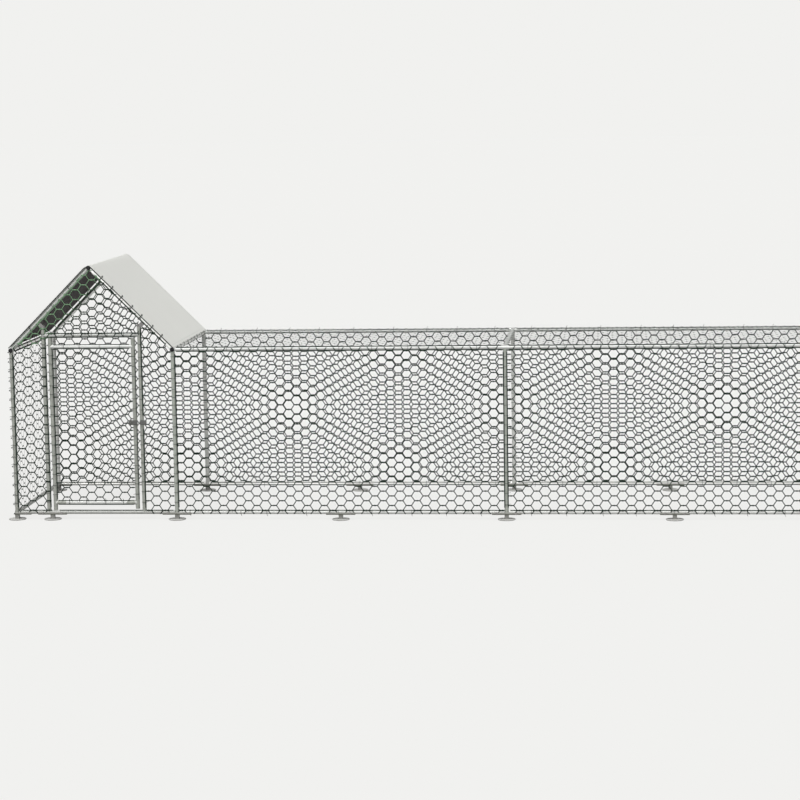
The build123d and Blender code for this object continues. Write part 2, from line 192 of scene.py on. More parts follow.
def zincFinish(name, changes):
    look = {**zincLook, **changes}
    finish, sheet, place = newFinish(name)
    cells = {"Vector": place, "Scale": 1 / look["spangle"]}
    flake = sheet.parts(sheet.add("ShaderNodeTexVoronoi", {}, cells, out="Color"))[0]
    patch = sheet.cloud(place, 1 / look["cloudSize"], 4.0)
    grain = sheet.cloud(place, look["grainScale"], 2.0)
    height = sheet.parts(place)[2]
    dust = sheet.ramp(height, *look["dustHeight"], look["dustShare"], 0.0)
    tone = flake * look["flakeTone"] + patch * look["cloudTone"] - look["toneDrop"]
    colour = sheet.blend(tone, look["deep"], look["pale"])
    colour = sheet.blend(dust * patch, colour, look["dust"])
    # painted shade: bands by height that darken a foot's rim, stub and shoe
    if "shadeBands" in look:
        stops = [(stop, shade) for low, high, shade in look["shadeBands"] for stop in (low, high)]
        shadeBand = sheet.add("ShaderNodeValToRGB", {"stops": stops}, {0: height / look["shadeBandsTop"]})
        colour = sheet.blend(1.0, colour, shadeBand, "MULTIPLY")
    rough = look["roughness"] + flake * look["flakeRough"] + patch * look["cloudRough"]
    values = {
        "Base Color": colour,
        "Metallic": look["metallic"],
        "Roughness": rough + dust * look["dustRough"],
        "Specular IOR Level": look["gloss"],
    }
    closeFinish(sheet, values, grain * look["grainBump"] + flake * look["flakeBump"], look)
    return finish


zinc = {name: zincFinish(name, changes) for name, changes in zincLightAndShade.items()}

# Green plastic skin of the netting wire: dark, its tone varying at random; painted light makes it brighter
# green under the cover's left slope
wireLook = {
    "fresh": (0.015, 0.028, 0.019), "faded": (0.029, 0.045, 0.034), "litUnderCover": (0.19, 0.32, 0.19),
    "litUnderCoverSide": (3.36, 3.43), "litUnderCoverHeight": (1.045, 1.075),
    "fadeScale": 4.0, "speckScale": 420.0, "fadeTone": 0.7, "speckTone": 0.3,
    "roughness": 0.50, "speckRough": 0.16, "gloss": 0.06, "bumpHeight": 0.0002, "bumpStrength": 0.3,
}
tieTones = {"fresh": (0.026, 0.032, 0.028), "faded": (0.055, 0.062, 0.056), "litUnderCover": None}


def wireFinish(name, changes):
    look = {**wireLook, **changes}
    finish, sheet, place = newFinish(name)
    fade = sheet.cloud(place, look["fadeScale"], 4.0)
    speck = sheet.cloud(place, look["speckScale"], 2.0)
    tone = fade * look["fadeTone"] + speck * look["speckTone"]
    colour = sheet.blend(tone, look["fresh"], look["faded"])
    # painted light: a brighter green on the wires under the cover's left slope, in front of its dark
    # underside
    if look["litUnderCover"]:
        side, _, height = sheet.parts(place)
        litUnderCoverShare = sheet.ramp(height - side, *look["litUnderCoverSide"]) * sheet.ramp(height, *look["litUnderCoverHeight"])
        colour = sheet.blend(litUnderCoverShare, colour, look["litUnderCover"])
    values = {
        "Base Color": colour,
        "Roughness": look["roughness"] + speck * look["speckRough"],
        "Specular IOR Level": look["gloss"],
    }
    closeFinish(sheet, values, speck, look)
    return finish


greenWire = wireFinish("greenWire", {})
tieWire = wireFinish("tieWire", tieTones)

# Black moulded plastic of the tube caps
capLook = {
    "deep": (0.010, 0.010, 0.011), "pale": (0.032, 0.032, 0.034), "poreScale": 1600.0, "rubScale": 60.0,
    "roughness": 0.42, "rubRough": 0.2, "gloss": 0.15, "bumpHeight": 0.0003, "bumpStrength": 0.4,
}


def capFinish(name, look):
    finish, sheet, place = newFinish(name)
    pores = sheet.cloud(place, look["poreScale"], 2.0)
    rub = sheet.cloud(place, look["rubScale"], 4.0)
    values = {
        "Base Color": sheet.blend(rub, look["deep"], look["pale"]),
        "Roughness": look["roughness"] + rub * look["rubRough"],
        "Specular IOR Level": look["gloss"],
    }
    closeFinish(sheet, values, pores, look)
    return finish


capPlastic = capFinish("capPlastic", capLook)

# Coated cloth of the roof cover: plain weave, packing creases darkened with painted shade, pale outside and
# dark inside
clothLook = {
    "thread": 0.0011, "creaseGap": 0.355, "creaseWidth": 0.004, "hazeScale": 3.2, "slubScale": 260.0,
    "hazeTone": 0.8, "slubTone": 0.25, "creaseShade": 0.10,
    "roughness": 0.50, "slubRough": 0.14, "hazeRough": 0.08,
    "weaveBump": 0.35, "creaseBump": 0.8, "hazeBump": 1.2, "bumpHeight": 0.0006, "bumpStrength": 0.22,
}
outsideTones = {"pale": (0.79, 0.795, 0.755), "deep": (0.73, 0.735, 0.695), "sheen": 0.1, "gloss": 0.5}
insideTones = {"pale": (0.085, 0.072, 0.070), "deep": (0.036, 0.030, 0.030), "sheen": 0.0, "gloss": 0.05}


def clothFinish(name, tones):
    look = {**clothLook, **tones}
    finish, sheet, place = newFinish(name, "UV")
    across, along, _ = sheet.parts(place)
    warp = (across * (pi / look["thread"])).sine()
    weft = (along * (pi / look["thread"])).sine()
    over = warp * weft
    weave = (1 - warp * warp) * (0.5 + over * 0.5) + (1 - weft * weft) * (0.5 - over * 0.5)
    haze = sheet.cloud(place, look["hazeScale"], 5.0)
    slub = sheet.cloud(place, look["slubScale"], 3.0)
    fold = ((across / look["creaseGap"] + 0.5) % 1.0 - 0.5).size() * look["creaseGap"]
    crease = sheet.ramp(fold, 0.0, look["creaseWidth"], 1.0, 0.0)
    # painted shade: the colour is darkened along each crease
    tone = haze * look["hazeTone"] + slub * look["slubTone"] - crease * look["creaseShade"]
    values = {
        "Base Color": sheet.blend(tone, look["deep"], look["pale"]),
        "Roughness": look["roughness"] + slub * look["slubRough"] + haze * look["hazeRough"],
        "Sheen Weight": look["sheen"],
        "Specular IOR Level": look["gloss"],
    }
    height = weave * look["weaveBump"] + crease * look["creaseBump"] + haze * look["hazeBump"]
    closeFinish(sheet, values, height, look)
    return finish


coverOutside = clothFinish("coverOutside", outsideTones)
coverInside = clothFinish("coverInside", insideTones)

# Sewing thread of the cover's hem
threadLook = {
    "deep": (0.50, 0.50, 0.47), "pale": (0.66, 0.66, 0.62), "fleckScale": 700.0, "plyScale": 2600.0,
    "roughness": 0.7, "fleckRough": 0.1, "bumpHeight": 0.0001, "bumpStrength": 0.4,
}


def threadFinish(name, look):
    finish, sheet, place = newFinish(name)
    fleck = sheet.cloud(place, look["fleckScale"], 2.0)
    ply = sheet.cloud(place, look["plyScale"], 1.0)
    values = {
        "Base Color": sheet.blend(fleck, look["deep"], look["pale"]),
        "Roughness": look["roughness"] + fleck * look["fleckRough"],
    }
    closeFinish(sheet, values, ply, look)
    return finish


hemThread = threadFinish("hemThread", threadLook)

# The first word that is in a node's name gives the lit or shaded copy of the zinc for its tubes: painted
# light or painted shade
tubeFinishes = {
    "rafter_front_left": "barShadeZinc", "rafter_front_right": "shineLitZinc", "rafter": "brightLitZinc",
    "eave": "shineLitZinc", "feet": "footLitShadeZinc", "bracket": "strapShadeZinc",
    "jamb": "jambShadeZinc", "stile": "jambShadeZinc", "post_front_left": "jambShadeZinc",
    "post_rear": "backLitZinc", "post_front": "frontShadeZinc",
    "bottom_rail_rear": "shineLitZinc", "top_rail_rear": "brightLitZinc", "sill_rear": "shineLitZinc",
    "rail": "railLitZinc", "sill": "barShadeZinc", "lintel": "barShadeZinc", "crossbeam": "railLitZinc", "ridge": "railLitZinc",
}
slotFinishes = {
    "latch": zinc["latchZinc"], "cap": capPlastic, "netting": greenWire, "cover": coverOutside,
}
for name, part in nodes.items():
    tone = next((tone for word, tone in tubeFinishes.items() if word in name), "postZinc")
    for holder in part.material_slots:
        slot = holder.material.name.split(".")[0] if holder.material else "tube"
        holder.material = slotFinishes.get(slot, zinc[tone])
print("finishes laid on the tubes")


# Adds a mesh as a piece that rides on a body, in place of the nodes that it replaces
def addPiece(name, mesh, body, finish=None, replaced=()):
    if finish is not None:
        mesh.materials.clear()
        mesh.materials.append(finish)
    piece = bpy.data.objects.new(name, mesh)
    scene.collection.objects.link(piece)
    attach(piece, body)
    if replaced:
        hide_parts(*replaced)
    return piece


# Gives a node tree its named inputs and returns its sheet, inputs and their identifiers
def newTree(name, inputs):
    tree = bpy.data.node_groups.new(name, "GeometryNodeTree")
    keys = {}
    for label, kind in [("Geometry", "NodeSocketGeometry")] + inputs:
        keys[label] = tree.interface.new_socket(label, in_out="INPUT", socket_type=kind).identifier
    tree.interface.new_socket("Geometry", in_out="OUTPUT", socket_type="NodeSocketGeometry")
    sheet = NodeSheet(tree)
    entry = tree.nodes.new("NodeGroupInput")
    taps = {label: Tap(sheet, entry.outputs[label]) for label in keys}
    return tree, sheet, taps, keys


def closeTree(sheet, shape, finish):
    solid = sheet.add("GeometryNodeRealizeInstances", {}, {"Geometry": shape})
    painted = sheet.add("GeometryNodeSetMaterial", {}, {"Geometry": solid, "Material": finish})
    sheet.add("NodeGroupOutput", {}, {"Geometry": painted})


# Runs a node tree on some points and returns the result as a plain mesh
def growMesh(name, tree, keys, values, points=(), facing=None, edges=()):
    base = bpy.data.meshes.new(name + "Base")
    base.from_pydata([tuple(p) for p in points], edges, [])
    for label, rows in (facing or {}).items():
        store = base.attributes.new(label, "FLOAT_VECTOR", "POINT")
        store.data.foreach_set("vector", [n for row in rows for n in row])
    carrier = bpy.data.objects.new(name + "Carrier", base)
    scene.collection.objects.link(carrier)
    grow = carrier.modifiers.new("grow", "NODES")
    grow.node_group = tree
    for label, value in values.items():
        grow[keys[label]] = value
    graph = bpy.context.evaluated_depsgraph_get()
    mesh = bpy.data.meshes.new_from_object(carrier.evaluated_get(graph), depsgraph=graph)
    carrier.modifiers.clear()
    bpy.data.objects.remove(carrier)
    mesh.name = name
    return mesh


# Netting: strands that run side by side and twist in turn with the one above and the one below
netSizes = {
    "stepsPerTwist": 4, "ringSides": 4, "twistShare": 2 / 3, "spareBefore": 2, "spareCount": 7,
    "noseSides": 12, "noseReach": 4, "weld": 1e-7,
}


def netTree():
    tree, sheet, size, keys = newTree(
        "hexNetting",
        [
            ("Column pitch", "NodeSocketFloat"),
            ("Row pitch", "NodeSocketFloat"),
            ("Columns", "NodeSocketInt"),
            ("Rows", "NodeSocketInt"),
            ("Wire radius", "NodeSocketFloat"),
            ("Twist radius", "NodeSocketFloat"),
            ("Flatness", "NodeSocketFloat"),
            ("Finish", "NodeSocketMaterial"),
        ],
    )
    steps = netSizes["stepsPerTwist"]
    points = steps + 1
    stops = {"Count": size["Columns"] * points, "Offset": (1.0, 0.0, 0.0)}
    line = sheet.add("GeometryNodeMeshLine", {"mode": "OFFSET"}, stops)
    index = sheet.add("GeometryNodeInputIndex")
    column = ((index + 0.5) / points).whole()
    turn = (index - column * points) / steps
    upper = column % 2.0
    side = 1 - upper * 2
    angle = turn * (2 * pi)
    along = column * size["Column pitch"] + (turn - 0.5) * (size["Column pitch"] * netSizes["twistShare"])
    across = upper * size["Row pitch"] + side * size["Twist radius"] * angle.cosine()
    proud = side * size["Twist radius"] * angle.sine()
    spot = sheet.add("ShaderNodeCombineXYZ", {}, {0: along, 1: across, 2: proud})
    strand = sheet.add("GeometryNodeSetPosition", {}, {"Geometry": line, "Position": spot})
    strand = sheet.add("GeometryNodeMeshToCurve", {}, {0: strand})
    strand = sheet.add("GeometryNodeSetCurveNormal", {"mode": "Z_UP"}, {0: strand})
    ring = {"Resolution": netSizes["ringSides"], "Radius": size["Wire radius"]}
    ring = sheet.add("GeometryNodeCurvePrimitiveCircle", {}, ring)
    wire = {"Curve": strand, "Profile Curve": ring, "Fill Caps": True}
    wire = sheet.add("GeometryNodeCurveToMesh", {}, wire)
    down = sheet.add("ShaderNodeCombineXYZ", {}, {0: 0.0, 1: size["Row pitch"], 2: 0.0})
    rows = sheet.add("GeometryNodeMeshLine", {"mode": "OFFSET"}, {"Count": size["Rows"], "Offset": down})
    odd = ((index + 0.25) % 2.0).whole()
    shift = sheet.add("ShaderNodeCombineXYZ", {}, {0: odd * size["Column pitch"]})
    rows = sheet.add("GeometryNodeSetPosition", {}, {"Geometry": rows, "Offset": shift})
    net = sheet.add("GeometryNodeInstanceOnPoints", {}, {"Points": rows, "Instance": wire})
    net = sheet.add("GeometryNodeRealizeInstances", {}, {"Geometry": net})
    flat = sheet.add("ShaderNodeCombineXYZ", {}, {0: 1.0, 1: 1.0, 2: size["Flatness"]})
    net = sheet.add("GeometryNodeTransform", {}, {"Geometry": net, "Scale": flat})
    closeTree(sheet, net, size["Finish"])
    return tree, keys


# Cuts a flat net along an outline, and round the tube ends that come through it
def trimNet(mesh, outline, noses, room):
    weld = netSizes["weld"]
    work = bmesh.new()
    work.from_mesh(mesh)
    for start, end in zip(outline, outline[1:] + outline[:1]):
        outward = Vector((end[1] - start[1], start[0] - end[0], 0.0))
        every = work.verts[:] + work.edges[:] + work.faces[:]
        bmesh.ops.bisect_plane(
            work, geom=every, dist=weld, plane_co=(*start, 0.0), plane_no=outward, clear_outer=True
        )
    turns = [2 * pi * k / netSizes["noseSides"] for k in range(netSizes["noseSides"])]
    sides = [Vector((cos(turn), sin(turn), 0.0)) for turn in turns]
    for nose in noses:
        centre = Vector((*nose, 0.0))
        reach = netSizes["noseReach"] * room
        for side in sides:
            near = [f for f in work.faces if (f.calc_center_median() - centre).length < reach]
            edges = {e for f in near for e in f.edges}
            verts = {v for f in near for v in f.verts}
            bmesh.ops.bisect_plane(
                work, geom=list(verts) + list(edges) + near, dist=weld,
                plane_co=centre + side * room, plane_no=side,
            )
        inside = [
            f for f in work.faces
            if max((f.calc_center_median() - centre).dot(side) for side in sides) < room
        ]
        bmesh.ops.delete(work, geom=inside, context="FACES")
    for face in work.faces:
        face.smooth = True
    bmesh.ops.holes_fill(work, edges=[e for e in work.edges if e.is_boundary], sides=0)
    work.to_mesh(mesh)
    work.free()


hexTree, hexKeys = netTree()

# Where the twists fall on each wall: a twist's middle, and the pitch of columns and rows
frontRun = {"middle": (-0.50060, 0.55478), "pitch": (0.051144, 0.02921)}
doorRun = {"middle": (-1.92355, 0.86955), "pitch": (0.051100, 0.02921)}
rearRun = {"middle": (-0.34840, 0.58709), "pitch": (0.051170, 0.02922)}
leftRun = {"middle": (0.08509, 0.56148), "pitch": (0.052900, 0.02912)}
roofRun = {"middle": (0.01870, -0.48160), "pitch": (0.051800, 0.02929)}

# Each wall's axes along the twists and up, a point on it, and its wire: half the width of a strand,
# how far a strand lies off the middle of a twist, and how flat it is rolled
wallFaces = {
    "front": ((1, 0, 0), (0, 0, 1), (0, -0.5386, 0), (0.0029, 0.0018, 0.12)),
    "rear": ((1, 0, 0), (0, 0, 1), (0, 0.5388, 0), (0.0030, 0.0018, 0.20)),
    "left": ((0, 1, 0), (0, 0, 1), (-2.5088, 0, 0), (0.0021, 0.0022, 0.20)),
    "end": ((0, 1, 0), (0, 0, 1), (2.5088, 0, 0), (0.0021, 0.0022, 0.20)),
    "roof": ((0, 1, 0), (1, 0, 0), (0, 0, 1.0518), (0.0025, 0.0020, 0.18)),
}

# Axes of the tubes of house, door and run
house = {
    "left": -2.495, "right": -1.505, "ridge": -2.0, "midPost": 0.495, "end": 2.495, "half": 0.525,
    "railLow": 0.045, "eave": 1.038, "top": 1.533, "tube": 0.0125,
    "jambs": (-2.295, -1.705), "jambTop": 1.165, "lintel": 1.127,
    "stiles": (-2.254, -1.746), "leafRails": (0.1045, 1.058),
}

# Where the nets stop: past the tubes, at the edges of posts, and round the tube ends
netEdges = {
    "low": 0.0345, "railOver": 0.008, "postOver": 0.017, "rafterOver": 0.004, "endOver": 0.012,
    "postEdge": 0.0115, "noseRoom": 0.0142, "crownRoom": 0.012,
    "besideDoor": (-2.276, -1.6935), "gable": (-2.284, -1.705), "gableLow": 1.119,
    "sideFront": -0.5605, "sideTop": 1.0365, "wallHalf": 0.5365, "roofHalf": 0.5345, "roofStart": -1.4955,
    "door": (-2.2425, 0.1155, -1.7575, 1.0465),
}


# Upper edge of the gable netting, a little past the rafters
def gableEdge(x):
    return house["top"] - abs(x - house["ridge"]) + netEdges["rafterOver"]


def boxOutline(left, low, right, high):
    return [(left, low), (right, low), (right, high), (left, high)]


netLow, postEdge, wallHalf = [netEdges[key] for key in ("low", "postEdge", "wallHalf")]
doorLeft, doorRight = netEdges["besideDoor"]
gableLeft, gableRight = netEdges["gable"]
outerLeft = house["left"] - netEdges["postOver"]
innerLeft = house["left"] + postEdge
innerRight = house["right"] - postEdge
outerEnd = house["end"] + netEdges["endOver"]
wallTop = house["eave"] + netEdges["railOver"]
leftEave = (house["left"], house["eave"])
rightEave = (house["right"], house["eave"])
endEaves = [(-house["half"], house["eave"]), (house["half"], house["eave"])]
ridgeEnd = (house["ridge"], house["top"])
crownCut = house["top"] - netEdges["crownRoom"]
crownHalf = netEdges["rafterOver"] + netEdges["crownRoom"]
crown = [(house["ridge"] + crownHalf, crownCut), (house["ridge"] - crownHalf, crownCut)]

# Each net: its wall and twists, the body it rides on, the tube ends in it, and its outlines
nettings = [
    ("netting_front_left", "front", frontRun, "frame", [leftEave], [[
        (innerLeft, netLow), (doorLeft, netLow), (doorLeft, gableEdge(gableLeft)),
        (innerLeft, gableEdge(innerLeft)),
    ]]),
    ("netting_front_right", "front", frontRun, "frame", [rightEave], [[
        (doorRight, netLow), (innerRight, netLow), (innerRight, gableEdge(innerRight)),
        (doorRight, gableEdge(doorRight)),
    ]]),
    ("netting_gable_front", "front", frontRun, "frame", [ridgeEnd], [[
        (gableLeft, netEdges["gableLow"]), (gableRight, netEdges["gableLow"]),
        (gableRight, gableEdge(gableRight)), *crown, (gableLeft, gableEdge(gableLeft)),
    ]]),
    ("netting_run_front", "front", frontRun, "frame", [rightEave], [
        boxOutline(house["right"] + postEdge, netLow, house["midPost"] - postEdge, wallTop),
        boxOutline(house["midPost"] + postEdge, netLow, outerEnd, wallTop),
    ]),
    ("netting_house_rear", "rear", rearRun, "frame", [leftEave, rightEave, ridgeEnd], [[
        (outerLeft, netLow), (house["right"], netLow), (house["right"], gableEdge(house["right"])), *crown,
        (outerLeft, gableEdge(outerLeft)),
    ]]),
    ("netting_run_rear", "rear", rearRun, "frame", [rightEave], [
        boxOutline(house["right"], netLow, outerEnd, wallTop),
    ]),
    ("netting_house_left", "left", leftRun, "frame", [], [
        boxOutline(netEdges["sideFront"], netLow, wallHalf, netEdges["sideTop"]),
    ]),
    ("netting_run_end", "end", leftRun, "frame", endEaves, [
        boxOutline(-wallHalf, netLow, wallHalf, wallTop),
    ]),
    ("netting_run_roof", "roof", roofRun, "frame", [], [
        boxOutline(-netEdges["roofHalf"], netEdges["roofStart"], netEdges["roofHalf"], outerEnd),
    ]),
    ("netting_door", "front", doorRun, "door", [], [boxOutline(*netEdges["door"])]),
]


def netMesh(name, wall, run, noses, outline):
    first, counts = [], []
    for spots, middle, pitch in zip(zip(*outline), run["middle"], run["pitch"]):
        first.append(2 * floor((min(spots) - middle) / pitch / 2) - netSizes["spareBefore"])
        counts.append(int((max(spots) - min(spots)) / pitch) + netSizes["spareCount"])
    rowAxis, upAxis, origin = [Vector(v) for v in wallFaces[wall][:3]]
    wire, twist, flatness = wallFaces[wall][3]
    sizes = {
        "Column pitch": run["pitch"][0], "Row pitch": run["pitch"][1],
        "Columns": counts[0], "Rows": counts[1],
        "Wire radius": wire, "Twist radius": twist, "Flatness": flatness, "Finish": greenWire,
    }
    mesh = growMesh(name, hexTree, hexKeys, sizes)
    corner = [m + n * p for m, n, p in zip(run["middle"], first, run["pitch"])]
    mesh.transform(Matrix.Translation((*corner, 0.0)))
    trimNet(mesh, outline, noses, netEdges["noseRoom"])
    place = Matrix((rowAxis, upAxis, rowAxis.cross(upAxis))).transposed().to_4x4()
    mesh.transform(Matrix.Translation(origin) @ place)
    return mesh


for node, wall, run, body, noses, outlines in nettings:
    mesh = netMesh(node + "_wires", wall, run, noses, outlines[0])
    if len(outlines) > 1:
        work = bmesh.new()
        work.from_mesh(mesh)
        for outline in outlines[1:]:
            work.from_mesh(netMesh(node + "_bay", wall, run, noses, outline))
        work.to_mesh(mesh)
        work.free()
    addPiece(node + "_wires", mesh, body, greenWire, [node])
    print(node, "strung:", len(mesh.polygons), "faces")


# Roof cover: one cloth over the ridge from eave to eave, tight on the right and loose on the left,
# where daylight shows between it and the tubes
coverSizes = {
    "offAxis": 0.0131, "thick": 0.0009, "halfLength": 0.5365, "sag": 0.006, "sagAlong": 1.5, "sagDown": 0.8,
    "hem": 0.026, "hemThick": 0.0006, "hemRound": 0.002, "facing": 0.11,
    "looseLeft": (0.0088, 0.0130), "looseRight": (0.0, 0.0040), "looseWidth": 0.036,
    "rows": 72, "columns": 56, "bend": 36, "edgeSteps": 3, "crease": 0.045, "flapTurn": 12,
    "ripples": ((5.0, 3.2, 1.7, 0.0016), (1.4, 11.0, 5.2, 0.0012)),
}


def coverPiece(size):
    slope = (house["right"] - house["left"]) / 2 * sqrt(2)
    arc = size["offAxis"] * pi / 2
    half = slope + arc / 2
    flap = size["offAxis"] * radians(size["flapTurn"])
    hem = size["hem"]
    end = size["halfLength"]
    flapSteps = hemSteps = size["edgeSteps"]

    def spread(start, stop, count):
        return [start + (stop - start) * k / count for k in range(count)]

    stepsS = spread(-half - flap, -half, flapSteps) + spread(-half, -half + hem, hemSteps)
    stepsS += spread(-half + hem, -size["crease"], size["rows"] // 2)
    stepsS += spread(-size["crease"], size["crease"], size["bend"])
    stepsS += spread(size["crease"], half - hem, size["rows"] // 2) + spread(half - hem, half, hemSteps)
    stepsS += spread(half, half + flap, flapSteps) + [half + flap]
    stepsY = spread(-end, -end + hem, hemSteps) + spread(-end + hem, -end + size["facing"], hemSteps)
    stepsY += spread(-end + size["facing"], end - hem, size["columns"])
    stepsY += spread(end - hem, end, hemSteps) + [end]

    # A spot on the cloth: s runs down from the ridge, y along it, and off is the height above its inside
    def spot(s, y, off):
        lean = 1 if s > 0 else -1
        run = abs(s) - arc / 2
        turn = s / size["offAxis"] if run < 0 else lean * (pi / 4 + max(run - slope, 0) / size["offAxis"])
        down = min(max(run, 0), slope) * sqrt(0.5)
        face = Vector((sin(turn), 0, cos(turn)))
        base = Vector((house["ridge"] + lean * down, y, house["top"] - down))
        share = min(max(run / slope, 0), 1)
        slack = 0
        if 0 < share < 1:
            slack = max(1 - (y / end) ** 2, 0) ** size["sagAlong"] * sin(pi * share) ** size["sagDown"]
        ripple = 0
        for perS, perY, seed, depth in size["ripples"]:
            ripple += noise.noise(Vector((s * perS, y * perY, seed))) * depth
        turned = 0
        if off > 0:
            edge = min(half - abs(s), end - abs(y))
            turned = size["hemThick"] * min(max((hem - edge) / size["hemRound"] + 0.5, 0), 1)
        atFront, atRear = size["looseLeft"] if s < 0 else size["looseRight"]
        loose = min(abs(s) / size["looseWidth"], 1)
        lift = (atFront + (atRear - atFront) * (y + end) / (2 * end)) * loose * loose * (3 - 2 * loose)
        return base + face * (size["offAxis"] + lift + off + turned - slack * (size["sag"] + ripple))

    work = bmesh.new()
    uvLayer = work.loops.layers.uv.new("clothMap")
    lastS, lastY = len(stepsS) - 1, len(stepsY) - 1
    cells = [
        (i, j) for i in range(lastS) for j in range(lastY)
        if flapSteps <= i < lastS - flapSteps or hemSteps <= j < lastY - hemSteps
    ]
    rings = [((i, j), (i + 1, j), (i + 1, j + 1), (i, j + 1)) for i, j in cells]
    corners = sorted({corner for ring in rings for corner in ring})
    flat = {}
    sheets = []
    for off in (size["thick"], 0.0):
        sheets.append({})
        for i, j in corners:
            vert = work.verts.new(spot(stepsS[i], stepsY[j], off))
            sheets[-1][i, j] = vert
            flat[vert] = (stepsS[i] + half + flap, stepsY[j] + end)
    outer, inner = sheets
    faces = [([outer[c] for c in ring], 0) for ring in rings]
    faces += [([inner[c] for c in reversed(ring)], 0 if ring[0][1] < 2 * hemSteps else 1) for ring in rings]
    edges = {(ring[k - 1], ring[k]) for ring in rings for k in range(4)}
    faces += [([outer[b], outer[a], inner[a], inner[b]], 0) for a, b in sorted(edges) if (b, a) not in edges]
    for ring, side in faces:
        face = work.faces.new(ring)
        face.material_index = side
        face.smooth = True
        for loop in face.loops:
            loop[uvLayer].uv = flat[loop.vert]
    mesh = bpy.data.meshes.new("roof_cover_cloth")
    work.to_mesh(mesh)
    work.free()
    mesh.materials.append(coverOutside)
    mesh.materials.append(coverInside)
    piece = addPiece("roof_cover_cloth", mesh, "frame", None, ["roof_cover"])
    extra = sum(size["looseLeft"] + size["looseRight"]) / 2 * (pi / 4 + radians(size["flapTurn"]))
    area = 2 * end * (2 * half + extra) + 4 * flap * (end - hem)
    return piece, (2 * end, 2 * (half + flap) + extra), area, spot, half


cover, coverFlat, coverArea, coverSpot, coverHalf = coverPiece(coverSizes)
print("roof cover laid:", [round(v, 3) for v in coverFlat], round(coverArea, 4))


# Seats of the netting: each run of tube that it is tied to, with the way its face looks, the step
# from tie to tie, the way a tie's tail points, and the sides that have an edge wire
seatSizes = {
    "postStep": 0.0584, "railStep": 0.2046, "leafStep": 0.1023, "rafterStep": 0.076, "eaveStep": 0.102,
    "slackStep": 0.17, "postEnds": (0.075, 1.012), "railGap": 0.022, "rafterGap": 0.040, "eaveGap": 0.030,
    "leafGap": 0.020, "sillGap": 0.024, "latchRoom": (0.555, 0.640), "hingeRoom": (0.6, 0.6),
    "eaveTail": (-0.71, 0, -0.71),
}
toLeft, toRight, upward, downward = [Vector(v) for v in ((-1, 0, 0), (1, 0, 0), (0, 0, 1), (0, 0, -1))]
bothSides, bothEdges = (toLeft, toRight), (upward, downward)
front, rear = Vector((0, -1, 0)), Vector((0, 1, 0))
half, eave, midPost = house["half"], house["eave"], house["midPost"]
jambs, stiles, leafRails = house["jambs"], house["stiles"], house["leafRails"]
gap, latchRoom = seatSizes["railGap"], seatSizes["latchRoom"]
postSeats, jambSeats, railSeats, leafSeats = [], [], [], []


def upright(x, y, stops):
    return [Vector((x, y, z)) for z in stops]


def level(y, z, stops):
    return [Vector((x, y, z)) for x in stops]


for y, face in ((-half, front), (half, rear)):
    for seats, x, tail, sides in (
        (postSeats, house["left"], toLeft, (toRight,)), (jambSeats, house["right"], toRight, (toRight,)),
        (postSeats, midPost, toRight, bothSides), (postSeats, house["end"], toRight, bothSides),
    ):
        ends = upright(x, y, seatSizes["postEnds"])
        seats.append((*ends, face, seatSizes["postStep"], tail, sides if face is front else ()))
    lowSides = (upward,) if face is front else bothEdges
    for z, tail, sides in ((house["railLow"], downward, lowSides), (eave, upward, bothEdges)):
        for left, right in ((house["right"], midPost), (midPost, house["end"])):
            ends = level(y, z, (left + gap, right - gap))
            railSeats.append((*ends, face, seatSizes["railStep"], tail, sides))
for seats, x, tail, room in (
    (jambSeats, jambs[0], toLeft, seatSizes["hingeRoom"]), (postSeats, jambs[1], toRight, latchRoom),
):
    for stops in ((seatSizes["postEnds"][0], room[0]), (room[1], house["jambTop"])):
        seats.append((*upright(x, -half, stops), front, seatSizes["postStep"], tail, (toRight,)))
ends = level(-half, house["lintel"], (jambs[0] + gap, jambs[1] - gap))
railSeats.append((*ends, front, seatSizes["leafStep"], upward, bothEdges))
sillStops = (house["left"] + gap, house["right"] - gap)
hingeStops = (stiles[0] - seatSizes["sillGap"], stiles[0] + seatSizes["sillGap"])
sillSeats = [
    (*level(-half, house["railLow"], stops), front, None, upward, (upward,))
    for stops in ((sillStops[0], hingeStops[0]), (hingeStops[1], sillStops[1]))
]
sillSeats.append((*level(half, house["railLow"], sillStops), rear, None, upward, bothEdges))
leafStops = (leafRails[0] + seatSizes["leafGap"], leafRails[1] - seatSizes["leafGap"])
hingeSeats = [(*upright(stiles[0], -half, leafStops), front, seatSizes["postStep"], toRight, (toRight,))]
for stops in ((leafStops[0], latchRoom[0]), (latchRoom[1], leafStops[1])):
    leafSeats.append((*upright(stiles[1], -half, stops), front, seatSizes["postStep"], toLeft, (toRight,)))
for z, tail in zip(leafRails, (upward, downward)):
    ends = level(-half, z, (stiles[0] + gap, stiles[1] - gap))
    leafSeats.append((*ends, front, seatSizes["leafStep"], tail, bothEdges))

# The cover is laced to the front rafters and the eave rails, tight on the right and slack on the left
gableSeats, slackSeats, rafterLaces, slackRafter, slackEave, rearGableSeats = [[] for _ in range(6)]
rise = (seatSizes["rafterGap"], house["top"] - eave - seatSizes["rafterGap"])
run = (seatSizes["eaveGap"] - half, half - seatSizes["eaveGap"])
for x, way in ((house["left"], 1), (house["right"], -1)):
    out = Vector((-way, 0, 1)).normalized()
    ends, rearEnds = [[Vector((x + way * g, y, eave + g)) for g in rise] for y in (-half, half)]
    rail = [Vector((x, y, eave)) for y in run]
    if way < 0:
        gableSeats.append((*ends, front, None, out, (-out,)))
        rafterLaces.append((*ends, front, seatSizes["rafterStep"], out, ()))
        eaveLace = rail
    else:
        slackSeats.append((*ends, front, None, out, (-out,)))
        slackRafter.append((*ends, out, seatSizes["slackStep"], front, ()))
        slackEave.append((*rail, out, seatSizes["slackStep"], Vector(seatSizes["eaveTail"]), ()))
        slackSeats.append((*rail, toRight, None, out, (downward,)))
    rearGableSeats.append((*rearEnds, rear, None, out, (out,)))

